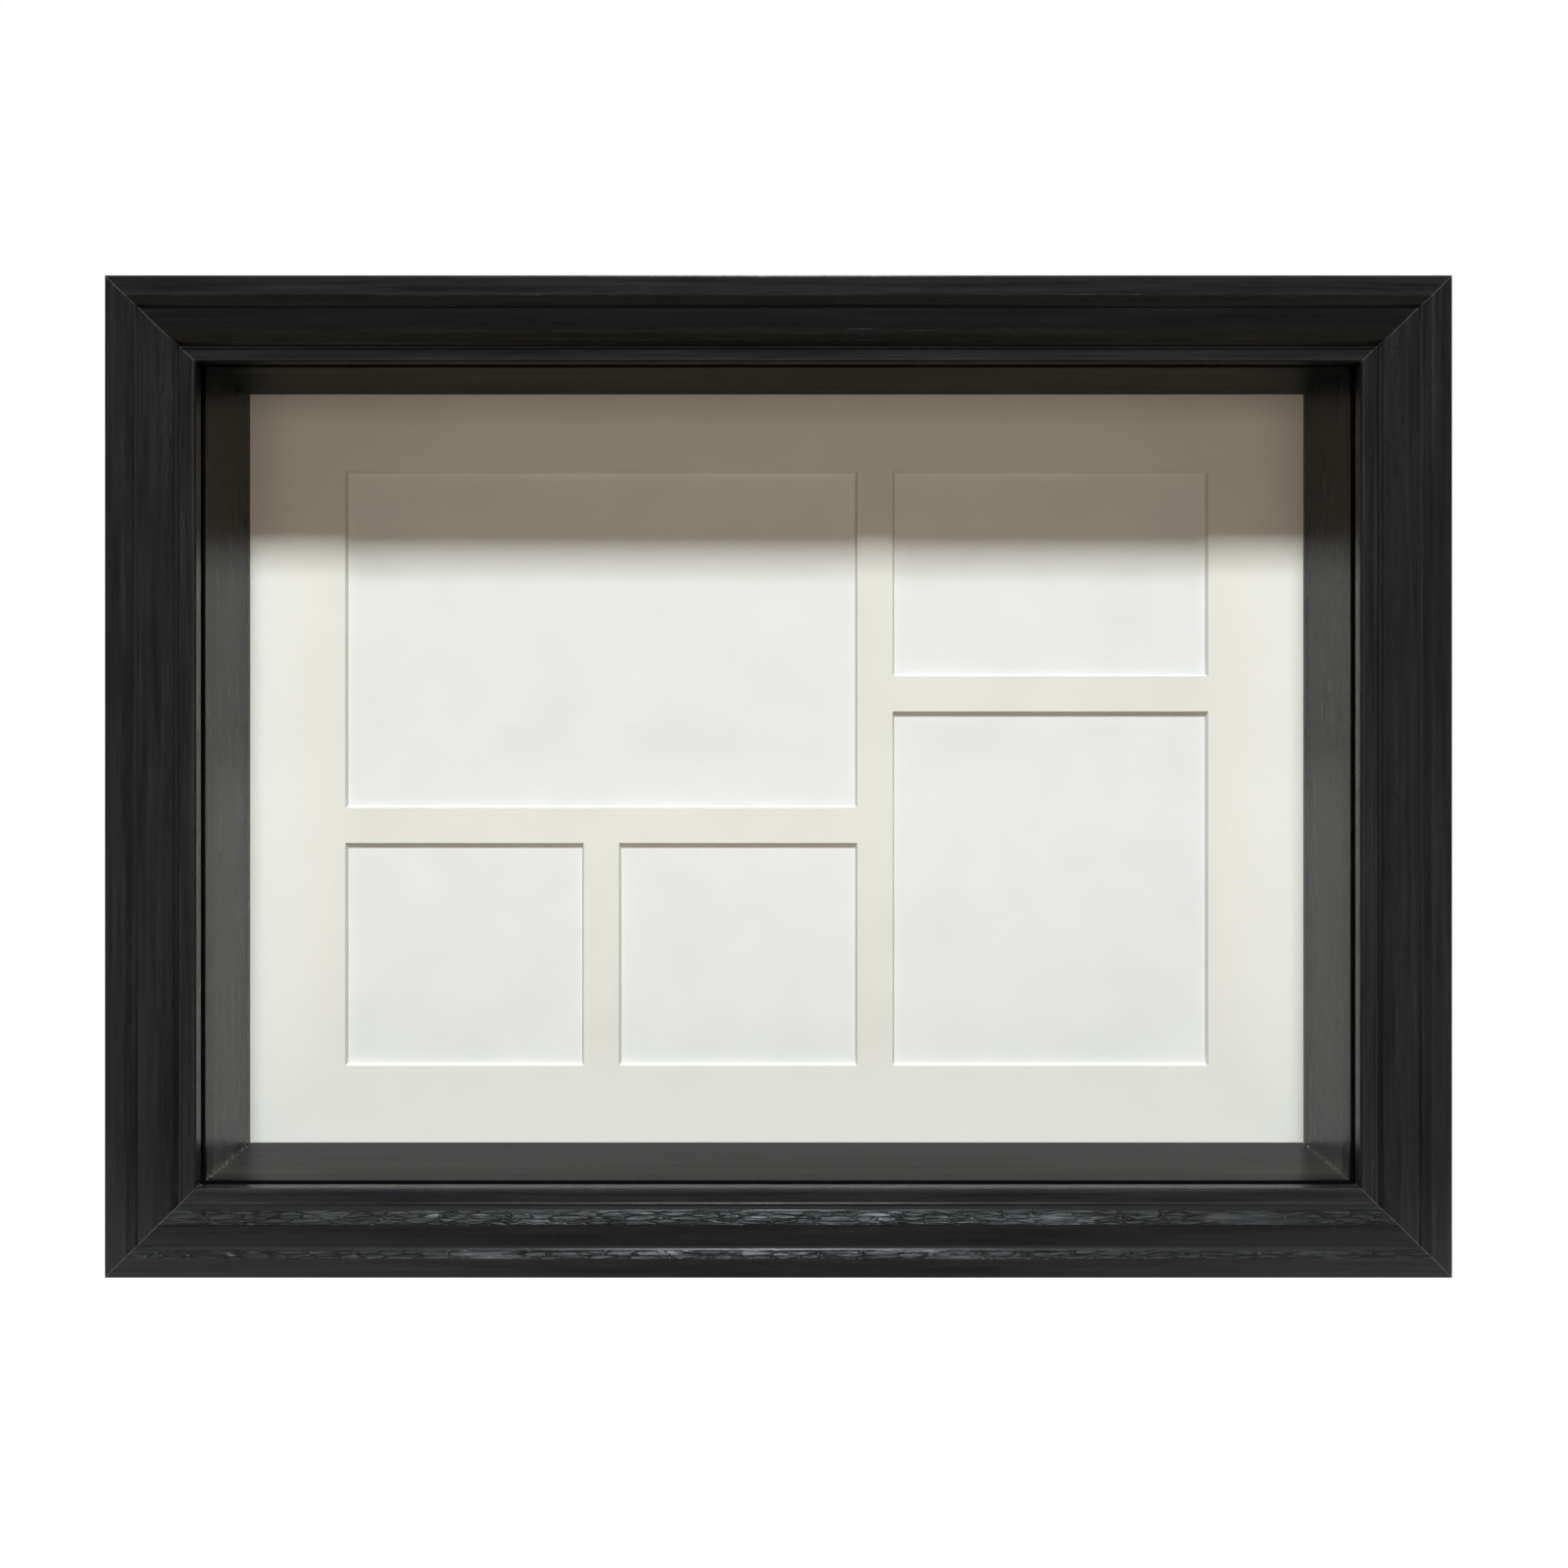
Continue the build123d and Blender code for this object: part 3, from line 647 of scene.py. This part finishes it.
# the band of tape at each wall's front end is painted shade for the shadow gap behind the bead
shadow_tape_width, front_ease, rear_ease, wall_gap = 0.8, 0.3, 0.2, 1.5
walls = [(near, start)] + eased((near, start), (far, start), (far, end), front_ease, 3)
walls += [(far, start + shadow_tape_width)]
walls += eased((far, start), (far, end), (near, end), rear_ease, 3) + [(near, end)]
wall_outline = outline("wall_outline", spaced(walls, lambda ay, by: wall_gap),
                       edge=lambda x, y: y < start + shadow_tape_width + 0.1)
for number, (name, (length, place, turn)) in enumerate(sides.items()):
    lacquered = satin_lacquer if name in ("left", "right") else dull_lacquer
    wall = grow(f"{name}_inner_wall", sweep, Outline=wall_outline, Length=length, Place=place,
                Steps=round(length / wall_step), Relief=0.0, Board=5 + 1.3 * number,
                Turn=math.radians(turn), Finish=lacquered, **{"Edge finish": shadow_gap_tape})
    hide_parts(f"{name}_spacer")
    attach(wall, "frame")
    print(wall.name, len(wall.data.polygons), "faces,", [m.name for m in wall.data.materials])

# %% [markdown]
# ## Mat with five windows
#
# The mat is thick card with an off-white paper face. Each window is cut with a slanted knife, so
# its edge shows the card's white core as a fine line round the picture: dark above, grey at the
# sides and bright below. The cut leans in less than the solid model says, because the line in
# the picture is that fine. A plain mesh is enough: two layers of straight-edged loops, filled
# between the outer edge and the windows, and joined by the bevels, which get the core's material.

# %% Card and paper
def paper_material(name, dark, pale, tooth, depth, painted_light_rim=None):
    """Matt paper or card: two close tones over a fine tooth, sizes in millimetres, and a rim of painted
    light.
    """
    paper, tree = new_material(name)
    where = add(tree, "ShaderNodeTexCoord").outputs["Object"]
    fine = add(tree, "ShaderNodeTexNoise", {
        "Vector": where, "Scale": 1 / (tooth * MM), "Detail": 3, "Roughness": 0.6})
    # clouds of 18 mm, from the pulp
    cloud = add(tree, "ShaderNodeTexNoise", {"Vector": where, "Scale": 1 / (18 * MM)})
    tone = add(tree, "ShaderNodeMath", {0: fine, 1: cloud}, operation="MULTIPLY")
    tone = add(tree, "ShaderNodeMapRange", {"Value": tone, "From Min": 0.12, "From Max": 0.4})
    tones = [(tone, pale)]
    if painted_light_rim:
        # painted light: the card is paler near its sides and bottom, which lifts the shade of the walls
        # there
        spot = add(tree, "ShaderNodeSeparateXYZ", {0: where})
        side = add(tree, "ShaderNodeMath", {0: spot.outputs["X"]}, operation="ABSOLUTE")
        side = add(tree, "ShaderNodeMapRange", {"Value": side, "From Min": 118 * MM, "From Max": 148 * MM})
        low = add(tree, "ShaderNodeMapRange", {
            "Value": spot.outputs["Z"], "From Min": 50 * MM, "From Max": 20 * MM})
        tones.append((add(tree, "ShaderNodeMath", {0: side, 1: low}, operation="MAXIMUM"), painted_light_rim))
    colour = linear(dark)
    for share, shade in tones:
        colour = add(tree, "ShaderNodeMix", {
            "Factor": share, "A": colour, "B": linear(shade)}, data_type="RGBA")
    surface(tree, {"Base Color": colour, "Roughness": 0.85, "Specular IOR Level": 0.2},
            relief=fine, strength=0.3, depth=depth)
    return paper


# mat paper: warm white, with a tooth of 0.5 mm that softens the light; the core is a finer, greyer white
mat_face = paper_material(
    "Mat card, off-white paper face", "e4e3da", "eae9e1", tooth=0.5, depth=0.03, painted_light_rim="f5f4ec")
mat_core = paper_material("Mat card, cut white core", "d6d5ce", "dddcd6", tooth=0.25, depth=0.02)

# %% Windows of the mat
# margins from the opening's lower left corner, the bars between windows, and window sizes, in millimetres
side_margin, foot_margin, bar_width = 27, 21.75, 10
large_w, large_h, small_h, column_w, column_h = 146, 96, 63.5, 90, 101
small_w = (large_w - bar_width) / 2
column = side_margin + large_w + bar_width
windows = (    # left, bottom, width, height
    (side_margin, foot_margin + small_h + bar_width, large_w, large_h),
    (side_margin, foot_margin, small_w, small_h),
    (side_margin + small_w + bar_width, foot_margin, small_w, small_h),
    (column, foot_margin + column_h + bar_width, column_w, small_h + large_h - column_h),
    (column, foot_margin, column_w, column_h))
print("windows:", [f"{width:g} x {height:g}" for _, _, width, height in windows], "mm")

# %% Mat
mat_low, mat_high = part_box("mat_board")
thick = mat_high[1] - mat_low[1]
corner_x = -(outer_w / 2 - rail_face * MM)
corner_z = rail_face * MM
shape = bmesh.new()
layers = []
for y, inset, normal in ((mat_low[1], 0, (0, -1, 0)), (mat_high[1], thick / 2, (0, 1, 0))):
    loops = [(mat_low[0], mat_low[2], mat_high[0], mat_high[2])]
    for left, low, width, height in windows:
        loops.append((corner_x + left * MM + inset, corner_z + low * MM + inset,
                      corner_x + (left + width) * MM - inset, corner_z + (low + height) * MM - inset))
    layer, edges = [], []
    for x0, z0, x1, z1 in loops:
        points = [shape.verts.new((x, y, z)) for x, z in ((x0, z0), (x1, z0), (x1, z1), (x0, z1))]
        edges += [shape.edges.new((points[i], points[(i + 1) % 4])) for i in range(4)]
        layer.append(points)
    bmesh.ops.triangle_fill(shape, edges=edges, use_beauty=True, normal=normal)
    layers.append(layer)
for fronts, backs in zip(*layers):
    for i in range(4):
        j = (i + 1) % 4
        bevel = shape.faces.new((fronts[i], fronts[j], backs[j], backs[i]))
        bevel.material_index = 1
bmesh.ops.recalc_face_normals(shape, faces=shape.faces)
mat_mesh = bpy.data.meshes.new("window_mat")
shape.to_mesh(mat_mesh)
print("mat volume", round(shape.calc_volume(signed=True) / MM ** 3), "mm3")
shape.free()
mat_mesh.materials.append(mat_face)
mat_mesh.materials.append(mat_core)
window_mat = bpy.data.objects.new("window_mat", mat_mesh)
scene.collection.objects.link(window_mat)
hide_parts("mat_board")
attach(window_mat, "frame")

# %% [markdown]
# ## Glass, sheet and backing board
#
# These are plain flat sheets, and the solid model's shapes are right, so they only need their
# finishes. Window glass has next to no colour and a faint smear of dust. Glass would throw a
# solid shadow in the renderer, so for the light that reaches the mat it is swapped for a clear
# pane. The sheet in the windows is smooth bright paper. The board at the back is pressed
# hardboard, brown, with the print of the wire screen that it dried on.

# %% Glass and sheet
def dress(node, material):
    """Gives a piece of the solid model its finish."""
    slots = nodes[node].data.materials
    slots.clear()
    slots.append(material)
    print("dressed:", node)


# float glass: clear and sharp, dulled a little by smears of 60 mm
window_glass, tree = new_material("Float glass, polished")
where = add(tree, "ShaderNodeTexCoord").outputs["Object"]
dust = add(tree, "ShaderNodeTexNoise", {"Vector": where, "Scale": 1 / (60 * MM), "Detail": 3})
dust = add(tree, "ShaderNodeMapRange", {"Value": dust, "To Max": 0.02})
pane = add(tree, "ShaderNodeBsdfPrincipled", {
    "Base Color": linear("fdfdfd"), "Roughness": dust, "IOR": 1.5, "Specular IOR Level": 0.3,
    "Transmission Weight": 1.0})
clear = add(tree, "ShaderNodeBsdfTransparent", {"Color": linear("fdfdfd")})
ray = add(tree, "ShaderNodeLightPath").outputs
passing = add(tree, "ShaderNodeMath", {
    0: ray["Is Shadow Ray"], 1: ray["Is Diffuse Ray"]}, operation="MAXIMUM")
both = add(tree, "ShaderNodeMixShader", {0: passing, 1: pane, 2: clear})
add(tree, "ShaderNodeOutputMaterial", {"Surface": both})
dress("front_glass", window_glass)
dress("insert_sheet", paper_material("Paper, smooth white", "e7e8e4", "eeefec", tooth=0.3, depth=0.01))

# %% Backing board
# hardboard: pressed brown fibres, darker where bark got in, and the dimples of a wire screen;
# real fibres are 1 mm long and dimples 1.4 mm apart, drawn 3 mm and 2.4 mm so that they show
hardboard, tree = new_material("Hardboard, pressed on a wire screen")
where = add(tree, "ShaderNodeTexCoord").outputs["Object"]
fibre = add(tree, "ShaderNodeTexNoise", {
    "Vector": where, "Scale": 1 / (3 * MM), "Detail": 6, "Roughness": 0.7})
clump = add(tree, "ShaderNodeTexNoise", {
    "Vector": where, "Scale": 1 / (26 * MM), "Detail": 4, "Roughness": 0.65})
tone = add(tree, "ShaderNodeMath", {0: clump, 1: 0.45, 2: fibre}, operation="MULTIPLY_ADD")
tone = add(tree, "ShaderNodeMapRange", {"Value": tone, "From Min": 0.48, "From Max": 0.98})
bark = add(tree, "ShaderNodeMapping", {
    "Vector": where, "Rotation": (0.3, 0.6, 0.2), "Scale": (1.0, 1.0, 3.5)})
bark = add(tree, "ShaderNodeTexNoise", {
    "Vector": bark, "Scale": 1 / (5 * MM), "Detail": 3, "Roughness": 0.6})
bark = add(tree, "ShaderNodeMapRange", {"Value": bark, "From Min": 0.64, "From Max": 0.72, "To Max": 0.8})
screen = add(tree, "ShaderNodeTexVoronoi", {"Vector": where, "Scale": 1 / (2.4 * MM), "Randomness": 0.12})
colour = linear("553a20")
for share, shade in ((tone, "956f48"), (bark, "3f2913")):
    colour = add(tree, "ShaderNodeMix", {"Factor": share, "A": colour, "B": linear(shade)}, data_type="RGBA")
height = add(tree, "ShaderNodeMath", {0: fibre, 1: 0.6, 2: screen}, operation="MULTIPLY_ADD")
surface(tree, {"Base Color": colour, "Roughness": 0.75, "Specular IOR Level": 0.3},
        relief=height, strength=0.6, depth=0.25)
dress("backing_board", hardboard)

# %% [markdown]
# ## Plated steel
#
# The nails across the mitres, the turn buttons and the screws are zinc-plated, which is a cool,
# slightly cloudy grey. The hangers are nickel-plated, warmer and brighter. Both are stamped
# from sheet, and fine rolling marks run one way. Their shapes come from the solid model.

# %% Zinc and nickel
def plated_steel(name, dark, pale, smooth, dull):
    """Plated sheet steel with rolling marks 0.15 mm wide and 8 mm long and a cloudy tone of 3 mm."""
    steel, tree = new_material(name)
    where = add(tree, "ShaderNodeTexCoord").outputs["Object"]
    marks = add(tree, "ShaderNodeMapping", {
        "Vector": where, "Scale": (1 / (0.15 * MM), 1 / (0.15 * MM), 1 / (8 * MM))})
    marks = add(tree, "ShaderNodeTexNoise", {"Vector": marks, "Scale": 1})
    cloud = add(tree, "ShaderNodeTexNoise", {
        "Vector": where, "Scale": 1 / (3 * MM), "Detail": 4, "Roughness": 0.6})
    colour = add(tree, "ShaderNodeMix", {
        "Factor": cloud, "A": linear(dark), "B": linear(pale)}, data_type="RGBA")
    rough = add(tree, "ShaderNodeMath", {0: marks, 1: cloud}, operation="MULTIPLY")
    rough = add(tree, "ShaderNodeMapRange", {
        "Value": rough, "From Min": 0.1, "From Max": 0.4, "To Min": smooth, "To Max": dull})
    surface(tree, {"Base Color": colour, "Metallic": 1.0, "Roughness": rough},
            relief=marks, strength=0.2, depth=0.01)
    return steel


zinc = plated_steel("Steel, stamped and zinc plated", "a3a7aa", "c3c6c8", smooth=0.3, dull=0.5)
nickel = plated_steel("Steel, bent and nickel plated", "c0b9aa", "d6d0c3", smooth=0.18, dull=0.34)
buttons = [name for name in nodes if name.startswith("turn_button") and not name.endswith("screws")]
for name in buttons + ["corner_nails"]:
    dress(name, zinc)
for name in ("hanger_strap_left", "hanger_strap_right", "hanger_ring_left", "hanger_ring_right"):
    dress(name, nickel)

# %% [markdown]
# ## Screws and rubber pads
#
# Ten pan-head screws and four rubber pads sit on the back. One pattern of each is drawn as a
# turned shape, and a small Geometry Nodes tree sets it on a list of places. No two screws stop
# at the same angle, so the tree turns each one about its own axis by a seeded random amount.

# %% A turned shape
def turned(profile, count):
    """Mesh of a shape turned about Y from (radius, height) in millimetres; returns it and its rings."""
    shape = bmesh.new()
    angles = [2 * math.pi * i / count for i in range(count)]
    rings = []
    for radius, height in profile:
        if radius == 0:
            rings.append([shape.verts.new((0, height * MM, 0))] * count)
            continue
        spots = [(radius * MM * math.cos(a), height * MM, radius * MM * math.sin(a)) for a in angles]
        rings.append([shape.verts.new(spot) for spot in spots])
    for upper, lower in zip(rings, rings[1:]):
        for i in range(count):
            j = (i + 1) % count
            corners = [upper[i], upper[j], lower[j], lower[i]]
            shape.faces.new(list(dict.fromkeys(corners)))
    return shape, rings


def rounded_rim(radius, top, easing, count=6):
    """Profile points of a rim eased to a radius, from its top to its side."""
    angles = [math.pi / 2 * i / count for i in range(count + 1)]
    return [(radius - easing + easing * math.sin(a), top - easing + easing * math.cos(a)) for a in angles]


def pattern(name, shape):
    """Keeps a turned shape as an object that only the tree uses."""
    bmesh.ops.recalc_face_normals(shape, faces=shape.faces)
    for face in shape.faces:
        face.smooth = True
    for edge in shape.edges:
        edge.smooth = edge.calc_face_angle(math.pi) < math.radians(35)
    mesh = bpy.data.meshes.new(name)
    shape.to_mesh(mesh)
    print(name, len(mesh.polygons), "faces,", round(shape.calc_volume(signed=True) / MM ** 3, 1), "mm3")
    shape.free()
    return bpy.data.objects.new(name, mesh)


print("a 1 mm rim:", [tuple(round(v, 2) for v in p) for p in rounded_rim(2, 1, 1, 2)])

# %% Patterns of the screw and the pad
head_r, head_top, head_ease, shank_r, shank_end, tip = 2.8, 1.8, 1.1, 1.4, -10, -13
profile = rounded_rim(head_r, head_top, head_ease)
profile += [(head_r, 0), (shank_r, 0), (shank_r, shank_end), (0, tip)]
shape, rings = turned(profile, 32)
# the cross recess: one arm's three corners, turned four times by a quarter
arm, half_w, recess_y, taper = 1.5, 0.35, 0.9, 0.9
corner = [(arm, half_w), (half_w, half_w), (half_w, arm)]
cross = []
for _ in range(4):
    cross += corner
    corner = [(-z, x) for x, z in corner]
brim = [shape.verts.new((x * MM, head_top * MM, z * MM)) for x, z in cross]
foot = [shape.verts.new((x * taper * MM, recess_y * MM, z * taper * MM)) for x, z in cross]
edges = [shape.edges.new((brim[i - 1], brim[i])) for i in range(len(brim))]
edges += [shape.edges.get((rings[0][i - 1], rings[0][i])) for i in range(len(rings[0]))]
bmesh.ops.triangle_fill(shape, edges=edges, use_beauty=True, normal=(0, 1, 0))
for i in range(len(brim)):
    shape.faces.new((brim[i - 1], brim[i], foot[i], foot[i - 1]))
shape.faces.new(foot)
screw_pattern = pattern("screw_pattern", shape)
pad_r, pad_top, pad_ease = 5, 4, 1.2
profile = [(0, pad_top)] + rounded_rim(pad_r, pad_top, pad_ease, 8) + [(pad_r, 0), (0, 0)]
pad_pattern = pattern("pad_pattern", turned(profile, 40)[0])

# %% Tree of the fixings
fixings, given = new_tree(
    "Fixings on the back", Pattern="Object", Places="Object", Seed="Int", Finish="Material")
part = add(fixings, "GeometryNodeObjectInfo", {"Object": given["Pattern"], "As Instance": True})
spots = add(fixings, "GeometryNodeObjectInfo", {"Object": given["Places"]})
twist = add(fixings, "FunctionNodeRandomValue", {
    "Max": (0, 2 * math.pi, 0), "Seed": given["Seed"]}, data_type="FLOAT_VECTOR")
fixed = add(fixings, "GeometryNodeInstanceOnPoints", {
    "Points": spots.outputs["Geometry"], "Instance": part.outputs["Geometry"], "Rotation": twist})
fixed = add(fixings, "GeometryNodeRealizeInstances", {"Geometry": fixed})
fixed = add(fixings, "GeometryNodeSetMaterial", {"Geometry": fixed, "Material": given["Finish"]})
add(fixings, "NodeGroupOutput", {"Geometry": fixed})
print("tree:", fixings.name, "with", len(fixings.nodes), "nodes")

# %% Rubber
# moulded rubber: dark, dull, with a fine mottle of 0.6 mm
rubber, tree = new_material("Rubber, moulded black")
where = add(tree, "ShaderNodeTexCoord").outputs["Object"]
mottle = add(tree, "ShaderNodeTexNoise", {"Vector": where, "Scale": 1 / (0.6 * MM), "Detail": 3})
colour = add(tree, "ShaderNodeMix", {
    "Factor": mottle, "A": linear("161616"), "B": linear("2a2a29")}, data_type="RGBA")
surface(tree, {"Base Color": colour, "Roughness": 0.7, "Specular IOR Level": 0.4},
        relief=mottle, strength=0.3, depth=0.04)

# %% Screws and pads in place
button_sheet, strap_sheet = 1.2, 0.8    # how thick the steel under each screw head is
button_x, hanger_drop, strap_drops, pad_inset = 85, 55, (19, 28), 30
rear_y = rail_high[1] / MM
rim_x, rim_low = outer_w / MM / 2 - rebate / 2, rebate / 2
rim_high, middle = outer_h / MM - rim_low, outer_h / MM / 2
hanger_z = outer_h / MM - hanger_drop
button_places = [(x, rear_y + button_sheet, z) for x in (-button_x, button_x) for z in (rim_low, rim_high)]
button_places += [(x, rear_y + button_sheet, middle) for x in (-rim_x, rim_x)]
strap_places = [(x, rear_y + strap_sheet, hanger_z - drop) for x in (-rim_x, rim_x) for drop in strap_drops]
pad_places = [(x, rear_y, z) for x in (-rim_x, rim_x) for z in (pad_inset, outer_h / MM - pad_inset)]
for name, node, slot, source, places, finish in (
        ("button_screws", "turn_button_screws", "zinc_steel", screw_pattern, button_places, zinc),
        ("strap_screws", "hanger_screws", "zinc_steel", screw_pattern, strap_places, zinc),
        ("rubber_pads", "wall_bumpers", "rubber", pad_pattern, pad_places, rubber)):
    spots = bpy.data.meshes.new(name + "_places")
    spots.from_pydata([[v * MM for v in place] for place in places], [], [])
    spots = bpy.data.objects.new(name + "_places", spots)
    piece = grow(name, fixings, Pattern=source, Places=spots, Seed=4, Finish=finish)
    bpy.data.objects.remove(spots)
    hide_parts(node)
    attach(piece, "frame")
    print(name, len(places), "pieces,", len(piece.data.polygons), "faces")

# %% [markdown]
# ## Clearing up
#
# Dressing the model must not change its size. The outlines and the two turned patterns served
# only the trees, so the script removes them.

# %% Remove the outlines and patterns
for pattern_object in (rail_outline, wall_outline, screw_pattern, pad_pattern):
    bpy.data.objects.remove(pattern_object)
